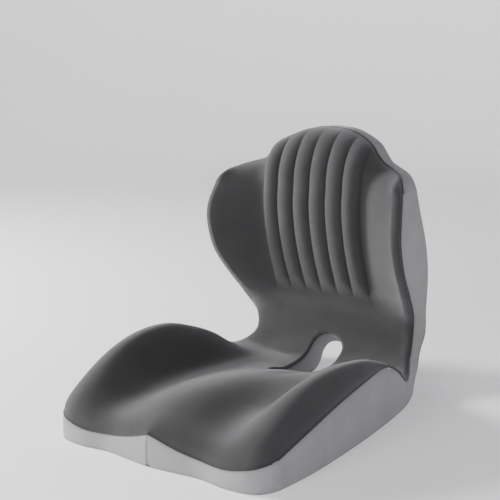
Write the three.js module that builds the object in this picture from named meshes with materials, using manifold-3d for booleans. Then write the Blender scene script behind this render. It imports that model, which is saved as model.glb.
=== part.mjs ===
// Posture seat cushion: a contoured seat pad and back support in one L-shaped foam moulding, in a cloth cover.
// Millimetres. +Z up, +Y towards the back. The origin is under the middle of the cushion, on the seat surface
// that it stands on.
import * as THREE from "three";
import { mergeVertices } from "three/addons/utils/BufferGeometryUtils.js";
import Module from "manifold-3d";

const wasm = await Module();
wasm.setup();

// ---------- driving dimensions ----------
const REAR_Y = 250; // flat rear face of the heel
const HEEL_RADIUS = 40; // outside bend from the base to the rear face
const COVER = 2; // cloth and its backing
const GAP = 0.35; // between neighbouring pieces
const PAD_HALF = 88; // half-width of the ribbed back pad
const RIB_PITCH = PAD_HALF / 3; // between neighbouring creases
const RIB_HEIGHT = 6.5; // of a rib's crest over the creases beside it
const TROUGH_X = 92; // deepest line of each thigh trough
const RIM = 0.88; // column where the rounded rim starts
const PAD = 0.5; // column at the pad's edge
const FLEX_AXIS = [236, 86]; // y and z of the foam heel's bending line
const FLEX_BACK = 12; // degrees of backward flex that the slit leaves room for
const FLEX_FORWARD = 6; // and of forward flex
const ZIP_Z = 102;
const ZIP_HALF = 95;

// Stations along the cushion, from the front corner to the shoulder. Each gives the side seam between the dark
// face and the band (half-width, y, z), the middle line of the face (y, z), the height of the trough beside the
// middle, the place of the outer edge along the sole at the side and in the middle, and the rounded rim inside
// the seam (its height over the seam and its width). Lengths along the sole run along the base, round the heel
// and up the rear face, so that they equal y on the base.
const STATIONS = [
  [181, -212, 42, -226, 60, 45, -212, -226, 30, 28],
  [188, -150, 61, -165, 79, 54, -150, -165, 45, 32],
  [190, -80, 76, -90, 78, 53, -80, -90, 42, 27],
  [189, 0, 86, -5, 64, 47, 0, -5, 25, 18],
  [186, 60, 88, 60, 53, 41, 60, 60, 6, 16],
  [182, 110, 68, 115, 36, 35, 112, 115, 5, 16],
  [176, 151, 42, 155, 33, 33, 154, 156, 5, 16],
  [163, 188, 38, 186, 37, 37, 200, 200, 6, 14],
  [150, 217, 52, 211, 54, 54, 238, 238, 8, 13],
  [149, 224, 76, 219, 82, 82, 268, 268, 9, 13],
  [153, 215, 106, 213, 110, 110, 296, 298, 9, 13],
  [163, 192, 134, 196, 142, 142, 324, 330, 9, 13],
  [171, 161, 170, 180, 174, 174, 360, 362, 9, 13],
  [176, 131, 212, 163, 215, 215, 402, 404, 9, 13],
  [177, 116, 258, 151, 258, 258, 453, 448, 9, 13],
  [176, 118, 290, 146, 296, 296, 496, 485, 9, 13],
  [170, 132, 324, 148, 328, 328, 544, 518, 9, 13],
];
// Front seam: the half outline, as x, y and z.
const FRONT = [
  [0, -250, 48],
  [39, -246, 35],
  [78, -242, 27],
  [118, -247, 27],
  [148, -245, 32],
  [166, -237, 36],
  [177, -223, 39],
];
// Top seam: the half outline, as x, y and z.
const TOP = [
  [0, 215, 417],
  [34, 214, 414],
  [62, 209, 404],
  [84, 199, 392],
  [96, 196, 378],
  [107, 196, 366],
  [121, 190, 360],
  [145, 168, 352],
  [158, 152, 343],
  [167, 139, 330],
];

// ---------- small helpers ----------
const mix = (a, b, t) => a + (b - a) * t;
const clamp = (t) => Math.min(1, Math.max(0, t));
const smooth = (a, b, t) => {
  const s = clamp((t - a) / (b - a));
  return s * s * (3 - 2 * s);
};
const bell = (t) => Math.exp(-t * t);
const curve = (points) => new THREE.CatmullRomCurve3(points, false, "catmullrom", 0.5);

const seamLine = curve(STATIONS.map(([half, y, z]) => new THREE.Vector3(half, y, z)));
const middleLine = curve(STATIONS.map((s) => new THREE.Vector3(0, s[3], s[4])));
const soleLine = curve(STATIONS.map((s) => new THREE.Vector3(s[6], s[7], s[5])));
const rimLine = curve(STATIONS.map((s) => new THREE.Vector3(s[8], s[9], 0)));
const frontLine = curve(FRONT.map((p) => new THREE.Vector3(...p)));
const topLine = curve(TOP.map((p) => new THREE.Vector3(...p)));

// The point of a half outline whose x is the given one.
function atWidth(line, x) {
  let low = 0;
  let high = 1;
  for (let i = 0; i < 24; i++) {
    const t = (low + high) / 2;
    if (line.getPoint(t).x < x) low = t;
    else high = t;
  }
  return line.getPoint(low);
}

// ---------- the outer surface: base, heel and rear ----------
// y and z along the outside of the L, at a length that equals y on the base.
function sole(length) {
  const bend = REAR_Y - HEEL_RADIUS;
  const quarter = (HEEL_RADIUS * Math.PI) / 2;
  if (length < bend) return [length, 0];
  if (length > bend + quarter) return [REAR_Y, HEEL_RADIUS + length - bend - quarter];
  const angle = (length - bend) / HEEL_RADIUS;
  return [bend + HEEL_RADIUS * Math.sin(angle), HEEL_RADIUS * (1 - Math.cos(angle))];
}

// The rear face wraps forward round the waist and the wings, and leans in a little towards the top.
const WRAP_WAIST = 33; // how far the rear face has come forward at the seam, over the waist
const WRAP_WINGS = 38; // and further at the wings
const WRAP_FROM = 50; // height at which it starts
const LEAN = 12;
const rearY = (x, z) => {
  const side = Math.abs(x) / 177;
  const waist = WRAP_WAIST * smooth(WRAP_FROM, 150, z) * side ** 4;
  const wings = WRAP_WINGS * smooth(190, 360, z) * side ** 2;
  return REAR_Y - LEAN * clamp((z - 112) / 305) - waist - wings;
};

// ---------- columns: 0 in the middle, 1 at the side seam ----------
const rimAngle = (column) => ((Math.abs(column) - RIM) / (1 - RIM)) * (Math.PI / 2);
const acrossOf = (column, half, width) => {
  const c = Math.abs(column);
  if (c <= PAD) return (c / PAD) * PAD_HALF;
  if (c <= RIM) return mix(PAD_HALF, half - width, (c - PAD) / (RIM - PAD));
  return half - width + width * Math.sin(rimAngle(column));
};
const flatAcross = (column, half, width) => {
  const c = Math.abs(column);
  return c <= RIM ? acrossOf(column, half, width) : mix(half - width, half, (c - RIM) / (1 - RIM));
};

// Ribs: five sharp creases with rounded ribs between them, and a valley beside the outer ribs.
function ribs(x, z) {
  const ends = smooth(140, 172, z) * (1 - smooth(372, 408, z));
  if (x < PAD_HALF) return RIB_HEIGHT * ends * Math.abs(Math.sin((Math.PI * x) / RIB_PITCH)) ** 0.8;
  return 0;
}

// A point of the dark face between the front roll and the top roll. Row 0 is at the front, 1 at the shoulders.
function bodyFace(column, row) {
  const seam = seamLine.getPoint(row);
  const middle = middleLine.getPoint(row);
  const { x: lift, y: width } = rimLine.getPoint(row);
  const [oy, oz] = bodySole(1, row).slice(1);
  const across = acrossOf(column, seam.x, width);
  const length = Math.hypot(seam.y - oy, seam.z - oz);
  const ny = (seam.y - oy) / length;
  const nz = (seam.z - oz) / length;
  const side = Math.sign(column) || 1;
  if (Math.abs(column) > RIM) {
    const over = lift * Math.cos(rimAngle(column));
    return [side * across, seam.y + ny * over, seam.z + nz * over];
  }
  const back = smooth(0.5, 0.66, row);
  const rim = seam.x - width;
  const wing = clamp((across - PAD_HALF) / (rim - PAD_HALF)) ** 1.5;
  const share = mix(smooth(TROUGH_X + 4, rim, across), wing, back);
  const y = mix(middle.y, seam.y + ny * lift, share);
  const z = mix(middle.z, seam.z + nz * lift, share);
  const trough = (middle.z - soleLine.getPoint(row).z) * smooth(0, TROUGH_X, across) * (1 - share);
  const valley = 9 * bell((across - PAD_HALF - 10) / 14) * smooth(0.66, 0.76, row);
  const raise = ribs(across, z) * back - trough - valley;
  return [side * across, y + ny * raise, z + nz * raise];
}

function bodySole(column, row) {
  const along = soleLine.getPoint(row);
  const across = flatAcross(column, seamLine.getPoint(row).x, rimLine.getPoint(row).y);
  const [y, z] = sole(mix(along.y, along.x, column * column));
  const side = Math.sign(column) || 1;
  return [side * across, z > WRAP_FROM ? rearY(across, z) : y, z];
}

// Rows -1 to 0 are the front roll, from the front seam; rows 1 to 2 are the top roll, up to the top seam.
function seamAt(column, line, flat) {
  const widest = line.getPoint(1).x;
  const x = (flat ? flatAcross : acrossOf)(column, widest, rimLine.getPoint(line === topLine ? 1 : 0).y);
  return x > widest - 1e-6 ? line.getPoint(1) : atWidth(line, x);
}
// How far a roll has come from the body's last row towards its seam: outwards, and over the edge.
const rollOf = (row) => {
  const angle = (row < 0 ? -row : row - 1) * (Math.PI / 2);
  return row < 0 ? [Math.sin(angle), 1 - Math.cos(angle)] : [1 - Math.cos(angle), Math.sin(angle)];
};

function face(column, row) {
  if (row >= 0 && row <= 1) return bodyFace(column, row);
  const [x, y, z] = bodyFace(column, row < 0 ? 0 : 1);
  const seam = seamAt(column, row < 0 ? frontLine : topLine, false);
  const [out, up] = rollOf(row);
  const side = Math.sign(column) || 1;
  return [side * mix(Math.abs(x), seam.x, row < 0 ? out : up), mix(y, seam.y, out), mix(z, seam.z, up)];
}

function outer(column, row) {
  if (row >= 0 && row <= 1) return bodySole(column, row);
  const [x, y, z] = bodySole(column, row < 0 ? 0 : 1);
  const edge = Math.abs(row - 0.5) > 1.5 - 1e-9;
  const seam = seamAt(column, row < 0 ? frontLine : topLine, !edge);
  const share = row < 0 ? -row : row - 1;
  const side = Math.sign(column) || 1;
  const across = mix(Math.abs(x), seam.x, share);
  if (row < 0) return [side * across, mix(y, seam.y, share), 0];
  const level = mix(z, seam.z, share);
  return [side * across, rearY(across, level), level];
}

// ---------- the skin: every surface of the cushion as one closed net ----------
const HALF_COLUMNS = [0, 0.083, 0.167, 0.25, 0.333, 0.417, 0.5, 0.57, 0.65, 0.73, 0.81, RIM, 0.93, 0.97, 1];
const COLUMNS = [...HALF_COLUMNS.slice(1).reverse().map((c) => -c), ...HALF_COLUMNS];
const ROLL_STEPS = [0, 0.3, 0.65];
const BODY_STEPS = 26;
const ROWS = [
  ...ROLL_STEPS.map((s) => s - 1),
  ...Array.from({ length: BODY_STEPS + 1 }, (_, i) => i / BODY_STEPS),
  ...ROLL_STEPS.map((s) => 2 - s).reverse(),
];
const HEEL_ROW = ROWS.findIndex((row) => row > 0 && row <= 1 && soleLine.getPoint(row).y > REAR_Y - HEEL_RADIUS);

const across = COLUMNS.length;
const along = ROWS.length;
const last = across - 1;
const centre = last / 2;
const faceAt = (i, j) => j * across + i;
const outerAt = (i, j) => across * along + j * across + i;
const points = [
  ...ROWS.flatMap((row) => COLUMNS.map((column) => new THREE.Vector3(...face(column, row)))),
  ...ROWS.flatMap((row) => COLUMNS.map((column) => new THREE.Vector3(...outer(column, row)))),
];

const quad = (a, b, c, d) => [
  [a, b, c],
  [a, c, d],
];
const cells = (at, from, to, turned) => {
  const list = [];
  for (let j = from; j < to; j++)
    for (let i = 0; i < across - 1; i++) {
      const ring = [at(i, j), at(i + 1, j), at(i + 1, j + 1), at(i, j + 1)];
      if (turned) ring.reverse();
      if (i < centre) ring.push(ring.shift());
      list.push(...quad(...ring));
    }
  return list;
};
// The band runs from the face's edge to the outer edge, along a walk of neighbouring columns and rows.
const strip = (walk) =>
  walk.slice(1).flatMap(([i, j], n) => {
    const [pi, pj] = walk[n];
    return quad(faceAt(pi, pj), outerAt(pi, pj), outerAt(i, j), faceAt(i, j));
  });
const range = (from, to) =>
  Array.from({ length: Math.abs(to - from) + 1 }, (_, n) => from + Math.sign(to - from) * n);
const rightWalk = [
  ...range(centre, last).map((i) => [i, 0]),
  ...range(1, along - 1).map((j) => [last, j]),
  ...range(last - 1, centre).map((i) => [i, along - 1]),
];
const mirrored = (p) => p - (p % across) + last - (p % across);
const rightBand = strip(rightWalk);
const skin = {
  face: cells(faceAt, 0, along - 1, false),
  base: cells(outerAt, 0, HEEL_ROW, true),
  rear: cells(outerAt, HEEL_ROW, along - 1, true),
  right: rightBand,
  left: rightBand.map(([a, b, c]) => [mirrored(a), mirrored(c), mirrored(b)]),
};

// Each point's way in, so that a shell of even thickness has mitred corners where two surfaces meet.
function inwards() {
  const sums = ["face", "sole", "band"].map(() => points.map(() => new THREE.Vector3()));
  const group = { face: 0, base: 1, rear: 1, right: 2, left: 2 };
  for (const [name, list] of Object.entries(skin))
    for (const [a, b, c] of list) {
      const ab = points[b].clone().sub(points[a]);
      const ac = points[c].clone().sub(points[a]);
      const n = ab.cross(ac);
      for (const p of [a, b, c]) sums[group[name]][p].add(n);
    }
  return points.map((_, p) => {
    const normals = sums.map((s) => s[p]).filter((n) => n.lengthSq() > 1e-12).map((n) => n.normalize());
    if (normals.length === 1) return normals[0].clone().negate();
    const [m, n] = normals;
    return m.clone().add(n).divideScalar(-Math.max(0.35, 1 + m.dot(n)));
  });
}
const inward = inwards();
const sunk = (p, depth) => points[p].clone().addScaledVector(inward[p], depth);

// ---------- solids ----------
function solidFrom(vertices, triangles) {
  const kept = new Map();
  const order = [];
  for (const p of triangles.flat())
    if (!kept.has(p)) {
      kept.set(p, order.length);
      order.push(p);
    }
  const vertProperties = new Float32Array(order.flatMap((p) => vertices[p].toArray()));
  const triVerts = new Uint32Array(triangles.flat().map((p) => kept.get(p)));
  return new wasm.Manifold(new wasm.Mesh({ numProp: 3, vertProperties, triVerts }));
}
function solidOf(geometry) {
  geometry.deleteAttribute("normal");
  geometry.deleteAttribute("uv");
  const merged = mergeVertices(geometry, 1e-3);
  const triVerts = new Uint32Array(merged.index.array);
  return new wasm.Manifold(
    new wasm.Mesh({ numProp: 3, vertProperties: merged.attributes.position.array, triVerts }),
  );
}
function geometryOf(solid) {
  const { vertProperties, triVerts } = solid.getMesh();
  return new THREE.BufferGeometry()
    .setAttribute("position", new THREE.BufferAttribute(vertProperties, 3))
    .setIndex(new THREE.BufferAttribute(triVerts, 1))
    .toNonIndexed();
}

// A cloth shell over some of the skin's triangles, drawn back by half a gap along its edges.
function shell(triangles) {
  const edges = new Map();
  for (const [a, b, c] of triangles)
    for (const [p, q] of [[a, b], [b, c], [c, a]]) {
      if (edges.has(q + "," + p)) edges.delete(q + "," + p);
      else edges.set(p + "," + q, [p, q]);
    }
  const rim = new Set([...edges.values()].flat());
  const pulls = new Map([...rim].map((p) => [p, new THREE.Vector3()]));
  for (let t = 0; t < triangles.length; t += 2) {
    const ring = new Set([...triangles[t], ...triangles[t + 1]]);
    for (const p of ring) if (rim.has(p)) for (const q of ring) pulls.get(p).add(points[q]).sub(points[p]);
  }
  const count = points.length;
  const vertices = [];
  for (const depth of [0, COVER])
    for (let p = 0; p < count; p++) {
      const vertex = sunk(p, depth);
      if (rim.has(p)) vertex.addScaledVector(pulls.get(p).clone().normalize(), 1.2 * GAP);
      vertices.push(vertex);
    }
  return solidFrom(vertices, [
    ...triangles,
    ...triangles.map(([a, b, c]) => [a + count, c + count, b + count]),
    ...[...edges.values()].flatMap(([p, q]) =>
      p < q ? quad(q, p, p + count, q + count) : quad(p, p + count, q + count, q),
    ),
  ]);
}
const core = (depth) => solidFrom(points.map((_, p) => sunk(p, depth)), Object.values(skin).flat());

// A prism with its outline in the y-z plane, right across the cushion.
function sideways(outline, width = 600) {
  const shape = new THREE.Shape(outline.map(([y, z]) => new THREE.Vector2(y, z)));
  const prism = new THREE.ExtrudeGeometry(shape, { depth: width, bevelEnabled: false });
  return solidOf(prism.translate(0, 0, -width / 2).applyMatrix4(AXES_YZ));
}
const AXES_YZ = new THREE.Matrix4().makeBasis(
  new THREE.Vector3(0, 1, 0),
  new THREE.Vector3(0, 0, 1),
  new THREE.Vector3(1, 0, 0),
);

// ---------- the slit at the bending line ----------
// Seat and back meet at the foam heel's bending line. The slit between them opens to the front and to the
// rear, so the back has room to flex both ways.
const slope = (degrees) => Math.tan((degrees * Math.PI) / 360);
function slitLine(side) {
  const [y, z] = FLEX_AXIS;
  const at = (reach, degrees) => [y + reach, z + side * (GAP / 2 + Math.abs(reach) * slope(degrees))];
  return [at(-76, FLEX_FORWARD), at(0, 0), at(64, FLEX_BACK)];
}
const backRegion = sideways([...slitLine(1), [300, 480], [60, 480], [60, 140], [135, 112]]);
const seatRegion = sideways([[130, 106], [60, 134], [-300, 134], [-300, -20], [300, -20], ...slitLine(-1).reverse()]);

// ---------- the tailbone cut-out ----------
const CUTOUT_TIP = 38; // y of the pointed end
const CUTOUT_HALF = 29; // half-width at the heel
const CUTOUT_TOP = [218, 71]; // y and z of the arch's crown, where it meets the dark face
const CUTOUT_FALL = 0.65; // slope of the arch, down to the rear
function cutout(extra) {
  const half = CUTOUT_HALF + extra;
  const tip = CUTOUT_TIP - extra * 1.6;
  const plan = new THREE.Shape();
  plan.moveTo(0, tip);
  plan.quadraticCurveTo(half * 0.5, tip + 26, half * 0.8, tip + 82);
  plan.quadraticCurveTo(half, tip + 120, half, tip + 160);
  plan.lineTo(half, REAR_Y + 20);
  plan.lineTo(-half, REAR_Y + 20);
  plan.lineTo(-half, tip + 160);
  plan.quadraticCurveTo(-half, tip + 120, -half * 0.8, tip + 82);
  plan.quadraticCurveTo(-half * 0.5, tip + 26, 0, tip);
  const slot = new THREE.ExtrudeGeometry(plan, { depth: 140, bevelEnabled: false, curveSegments: 6 });
  const [crownY, crownZ] = CUTOUT_TOP;
  const spring = crownZ - CUTOUT_HALF;
  const arch = new THREE.Shape();
  arch.moveTo(-half, -300);
  arch.lineTo(half, -300);
  arch.lineTo(half, spring);
  arch.absarc(0, spring, half, 0, Math.PI);
  arch.lineTo(-half, -300);
  const tunnel = new THREE.ExtrudeGeometry(arch, { depth: 400, bevelEnabled: false, curveSegments: 14 });
  const sheared = new THREE.Matrix4().makeShear(0, 0, 0, -CUTOUT_FALL, 0, 0);
  tunnel.rotateX(Math.PI / 2).translate(0, REAR_Y + 20 - crownY, 0);
  tunnel.applyMatrix4(sheared).translate(0, crownY, 0);
  return solidOf(slot.translate(0, 0, -20)).intersect(solidOf(tunnel));
}
const hole = cutout(0);
const wideHole = cutout(COVER + GAP);
const lining = cutout(COVER).subtract(hole);

// ---------- the zip in the rear panel ----------
const TAPE = 9; // height of one tape, with its row of teeth
const TAPE_THICK = 1.2;
const TAPE_Y = 245.2; // inner face of the tapes, in a recess of the foam
const TEETH = 2.2; // height of one row of teeth
const SPLIT = 0.4; // between the two rows
const SLIDER_X = 85; // the slider's place when the zip is closed
const SLIDER_LENGTH = 11;
const PULL_LENGTH = 16;
const zipRoom = solidOf(
  new THREE.BoxGeometry(2 * ZIP_HALF + 14, 12, 2 * TAPE + 1).translate(0, TAPE_Y + 5.5, ZIP_Z),
);
// A flat piece with its outline in the x-z plane, from one y to another.
function plate(outline, from, to) {
  const shape = new THREE.Shape(outline.map(([x, z]) => new THREE.Vector2(x, z)));
  const slab = new THREE.ExtrudeGeometry(shape, { depth: to - from, bevelEnabled: false });
  return solidOf(slab.rotateX(Math.PI / 2).translate(0, to, 0));
}
const block = (x0, x1, y0, y1, z0, z1) =>
  solidOf(
    new THREE.BoxGeometry(x1 - x0, y1 - y0, z1 - z0).translate((x0 + x1) / 2, (y0 + y1) / 2, (z0 + z1) / 2),
  );

// ---------- the pieces ----------
const material = (color, roughness, metalness = 0) => new THREE.MeshStandardMaterial({ color, roughness, metalness });
const darkCloth = material(0x4a4b4d, 0.95);
const greyCloth = material(0x9c9d9f, 0.9);
const baseCloth = material(0x3b3c3e, 0.95);
const foam = material(0xd8d3c4, 1);
const tape = material(0x8b8c8e, 0.85);
const metal = material(0x9a9b9c, 0.35, 0.9);

const cushion = new THREE.Group();
const seat = new THREE.Group();
const back = new THREE.Group();
cushion.add(seat, back);
function add(group, name, solid, look) {
  const mesh = new THREE.Mesh(geometryOf(solid), look);
  mesh.name = name;
  group.add(mesh);
  return mesh;
}

const body = core(COVER + 3 * GAP).subtract(wideHole).subtract(zipRoom);
add(seat, "seat_foam", body.intersect(seatRegion), foam);
add(back, "back_foam", body.intersect(backRegion), foam);
const faceShell = shell(skin.face).subtract(hole);
add(seat, "seat_face_cover", faceShell.intersect(seatRegion), darkCloth);
add(back, "back_face_cover", faceShell.intersect(backRegion), darkCloth);
for (const side of ["left", "right"]) {
  const band = shell(skin[side]);
  add(seat, "seat_side_band_" + side, band.intersect(seatRegion), greyCloth);
  add(back, "back_side_band_" + side, band.intersect(backRegion), greyCloth);
}
add(seat, "cutout_lining", lining.intersect(core(COVER + GAP)).intersect(seatRegion), greyCloth);
add(seat, "base_panel", shell(skin.base).subtract(hole), baseCloth);
const rearShell = shell(skin.rear).subtract(hole);
add(seat, "heel_panel", rearShell.intersect(seatRegion), greyCloth);
add(back, "rear_panel", rearShell.intersect(backRegion).subtract(zipRoom), greyCloth);

const zip = new THREE.Group();
zip.position.z = ZIP_Z;
back.add(zip);
const toothed = SPLIT / 2 + TEETH;
for (const [name, up] of [["upper", 1], ["lower", -1]]) {
  const band = (from, to) => (up > 0 ? [from, to] : [-to, -from]);
  const reach = ZIP_HALF + 6;
  const cloth = block(-reach, reach, TAPE_Y, TAPE_Y + TAPE_THICK, ...band(toothed + GAP, TAPE));
  add(zip, "zip_tape_" + name, cloth, tape);
  const row = block(-ZIP_HALF, ZIP_HALF, TAPE_Y, TAPE_Y + TAPE_THICK, ...band(SPLIT / 2, toothed));
  add(zip, "zip_teeth_" + name, row, metal);
}
for (const [name, side] of [["left", -1], ["right", 1]]) {
  const ends = [side * (ZIP_HALF + GAP), side * (ZIP_HALF + 3)].sort((a, b) => a - b);
  add(zip, "zip_stop_" + name, block(...ends, TAPE_Y - 0.3, TAPE_Y + 2.4, 1 - toothed, toothed - 1), metal);
}
const slider = new THREE.Group();
slider.position.x = SLIDER_X;
zip.add(slider);
const nose = SLIDER_LENGTH / 2;
const sliderTop = TAPE_Y + TAPE_THICK + GAP + 1.5;
const shield = [[-nose, -2.6], [-1, -4.2], [3.5, -3.8], [nose, -1.6], [nose, 1.6], [3.5, 3.8], [-1, 4.2], [-nose, 2.6]];
const fin = block(-3, 3, sliderTop - 0.2, sliderTop + 1.5, -0.6, 0.6);
add(slider, "zip_slider", plate(shield, sliderTop - 1.5, sliderTop).add(fin), metal);
const fork = [[1.4, 1], [1.4, 2.5], [-PULL_LENGTH + 3, 2.5], [-PULL_LENGTH + 1.4, 1.2], [-PULL_LENGTH + 1.4, -1.2],
  [-PULL_LENGTH + 3, -2.5], [1.4, -2.5], [1.4, -1], [-4, -1], [-4, 1]];
add(slider, "zip_pull", plate(fork, sliderTop + 0.4, sliderTop + 1.2), metal);

export default cushion;
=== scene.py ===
import math

import bmesh
import bpy
import numpy as np
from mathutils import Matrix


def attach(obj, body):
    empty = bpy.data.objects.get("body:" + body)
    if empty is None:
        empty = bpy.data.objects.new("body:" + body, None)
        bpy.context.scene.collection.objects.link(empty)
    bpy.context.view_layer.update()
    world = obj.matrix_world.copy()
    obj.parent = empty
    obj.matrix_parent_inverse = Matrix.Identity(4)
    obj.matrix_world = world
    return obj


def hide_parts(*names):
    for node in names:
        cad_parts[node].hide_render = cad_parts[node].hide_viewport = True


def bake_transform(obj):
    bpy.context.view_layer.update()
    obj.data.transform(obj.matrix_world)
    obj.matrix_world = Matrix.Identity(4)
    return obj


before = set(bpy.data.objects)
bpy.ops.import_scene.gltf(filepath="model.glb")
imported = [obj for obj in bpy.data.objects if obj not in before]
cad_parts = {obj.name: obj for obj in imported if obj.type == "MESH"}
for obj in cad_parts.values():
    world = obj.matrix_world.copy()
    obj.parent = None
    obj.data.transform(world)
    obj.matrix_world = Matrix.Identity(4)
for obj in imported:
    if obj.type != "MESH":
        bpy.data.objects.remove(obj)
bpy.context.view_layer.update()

# A contoured seat cushion: seat pad and back support in one L-shaped foam moulding, in a sewn cloth cover.
# The shapes below are worked out in millimetres, +Z up and +Y to the back, and go into the meshes in metres.
MM = 0.001

# ---------- the camera, the floor and the light ----------
scene = bpy.context.scene
camera = bpy.data.objects.new("camera", bpy.data.cameras.new("camera"))
camera.location = (0.7938, -1.1600, 0.5232)
camera.rotation_euler = (math.radians(78.944), 0, math.radians(34.736))
camera.data.lens = 70.56
camera.data.sensor_width = 36
scene.collection.objects.link(camera)
scene.camera = camera

world = bpy.data.worlds.new("studio")
scene.world = world
world.use_nodes = True
world.node_tree.nodes["Background"].inputs["Color"].default_value = (1, 1, 1, 1)
world.node_tree.nodes["Background"].inputs["Strength"].default_value = 0.05


def softbox(name, place, size, power, aim=(0, 0, 0.15)):
    """A square area light at a place, turned to look at the aim point."""
    light = bpy.data.lights.new(name, "AREA")
    light.size, light.energy = size, power
    lamp = bpy.data.objects.new(name, light)
    scene.collection.objects.link(lamp)
    direction = np.array(aim) - np.array(place)
    flat = math.hypot(direction[0], direction[1])
    lamp.location = place
    heading = math.atan2(direction[1], direction[0]) - math.pi / 2
    lamp.rotation_euler = (math.atan2(flat, -direction[2]), 0, heading)
    return lamp


softbox("key_softbox", (-2.3, -0.8, 1.05), 0.7, 150)
softbox("front_softbox", (-0.2, -2.5, 0.9), 1.0, 44)
softbox("side_softbox", (2.4, -0.9, 1.0), 1.2, 1)


# ---------- materials ----------
class Value:
    """A node's output, with arithmetic: every operator adds a Math node."""

    def __init__(self, net, socket):
        self.net, self.socket = net, socket

    def math(self, operation, *others, swap=False):
        """A Math node on this value and the others, with this one last if swapped."""
        terms = [*others, self] if swap else [self, *others]
        return self.net.node("Math", {"operation": operation}, dict(enumerate(terms)))

    def __add__(self, other):
        return self.math("ADD", other)

    def __sub__(self, other):
        return self.math("SUBTRACT", other)

    def __rsub__(self, other):
        return self.math("SUBTRACT", other, swap=True)

    def __mul__(self, other):
        return self.math("MULTIPLY", other)

    __radd__, __rmul__ = __add__, __mul__


class Net:
    """A material's nodes around one Principled shader, whose even values are set as the net is made."""

    def __init__(self, name, **even):
        self.material = bpy.data.materials.new(name)
        self.material.use_nodes = True
        self.tree = self.material.node_tree
        self.shader = self.tree.nodes["Principled BSDF"]
        for socket, value in even.items():
            self.shader.inputs[socket.replace("_", " ")].default_value = value

    def node(self, kind, settings=None, sockets=None, out=0):
        """A node from its type, its settings and the values or links of its sockets."""
        made = self.tree.nodes.new("ShaderNode" + kind)
        for key, value in (settings or {}).items():
            setattr(made, key, value)
        for key, value in (sockets or {}).items():
            self.feed(made.inputs[key], value)
        return Value(self, made.outputs[out])

    def feed(self, socket, value):
        """A link into a socket, or a plain value set on it."""
        if isinstance(value, Value):
            self.tree.links.new(value.socket, socket)
        else:
            socket.default_value = value

    def noise(self, scale, detail=2.0, where=None, roughness=0.5):
        """Noise of a scale in features per metre, on the object's own place unless told otherwise."""
        place = where or self.node("TexCoord", out=3)
        sockets = {"Vector": place, "Scale": scale, "Detail": detail, "Roughness": roughness}
        return self.node("TexNoise", {}, sockets)

    def measure(self):
        """The piece's own flat pattern: across and along, in metres."""
        parts = self.node("SeparateXYZ", {}, {0: self.node("TexCoord", out=2)}).socket.node
        return Value(self, parts.outputs[0]), Value(self, parts.outputs[1])

    def mark(self, name):
        """One of the piece's own numbers, from 0 to 1."""
        return self.node("Attribute", {"attribute_name": name}, out=2)

    def tint(self, amount, low, high):
        """A colour between two, by an amount from 0 to 1."""
        return self.node("Mix", {"data_type": "RGBA"}, {0: amount, 6: low, 7: high}, out=2)

    def bump(self, height, distance, strength=1.0):
        """A normal tilted by the slope of a height from 0 to 1, over a distance in metres."""
        return self.node("Bump", {}, {"Height": height, "Distance": distance, "Strength": strength})

    def finish(self, **varying):
        """The material, once what changes over the surface is fed to the shader."""
        for socket, value in varying.items():
            self.feed(self.shader.inputs[socket.replace("_", " ")], value)
        return self.material


def grey(level, warm=0.0):
    """A near grey: red is the level plus its warm share, blue is 2% over the level less that share."""
    return (level * (1 + warm), level, level * (1 + 0.02 - warm), 1)


def knit(name, base, wale, course, sheen, depth):
    """A soft knit: rows of small v-shaped loops, a short nap over them, mottled yarn, paler where it is rubbed on
    crests, and darker along its seams and creases where painted shade is laid on."""
    net = Net(name, Sheen_Weight=sheen, Sheen_Roughness=0.42, Specular_IOR_Level=0.18)
    net.shader.inputs["Sheen Tint"].default_value = grey(0.85)
    u, v = net.measure()
    side = (u * (1 / wale)).math("FRACT")
    fold = (side * 2 - 1).math("ABSOLUTE")
    loop = (v * (2 * math.pi / course) + fold * 2.4).math("SINE") * 0.5 + 0.5
    leg = (side * (2 * math.pi)).math("SINE").math("ABSOLUTE")
    yarn = loop * leg
    nap = net.noise(2600, 4.0, roughness=0.7)
    cloud = net.noise(26, 3.0)
    heather = net.noise(700, 2.0)
    amount = cloud * 0.42 + heather * 0.5 + yarn * 0.16 - 0.05
    cloth = net.tint(amount, grey(base * 0.66), grey(base * 1.38))
    worn = net.tint(net.mark("crest") * (0.1 + 0.3 * cloud), cloth, grey(min(0.9, base * 1.9)))
    # painted shade: the colour goes towards a darker grey where the shade mark is set, at seams and in creases
    colour = net.tint(net.mark("painted_shade") * 0.55, worn, grey(base * 0.45))
    height = yarn * 0.55 + nap * 0.45
    return net.finish(
        Base_Color=colour,
        Roughness=0.86 + 0.14 * nap,
        Normal=net.bump(height, depth, 0.55),
    )


def rubber_dotted():
    """Dark non-slip cloth: a plain weave with a dull coating."""
    net = Net("base_cloth", Sheen_Weight=0.1, Specular_IOR_Level=0.3)
    u, v = net.measure()
    warp = (u * (2 * math.pi / 0.0009)).math("SINE").math("ABSOLUTE")
    weft = (v * (2 * math.pi / 0.0009)).math("SINE").math("ABSOLUTE")
    weave = warp.math("MAXIMUM", weft)
    dust = net.noise(18, 4.0)
    colour = net.tint(dust * 0.8 + weave * 0.2, grey(0.028), grey(0.075, 0.01))
    return net.finish(Base_Color=colour, Roughness=0.7 + 0.25 * dust, Normal=net.bump(weave, 0.0004, 0.6))


def rubber():
    """Moulded rubber dots, a little scuffed."""
    net = Net("rubber_dots", Specular_IOR_Level=0.4)
    scuff = net.noise(240, 4.0)
    colour = net.tint(scuff, grey(0.016), grey(0.06))
    return net.finish(Base_Color=colour, Roughness=0.5 + 0.35 * scuff, Normal=net.bump(scuff, 0.0001, 0.5))


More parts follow.
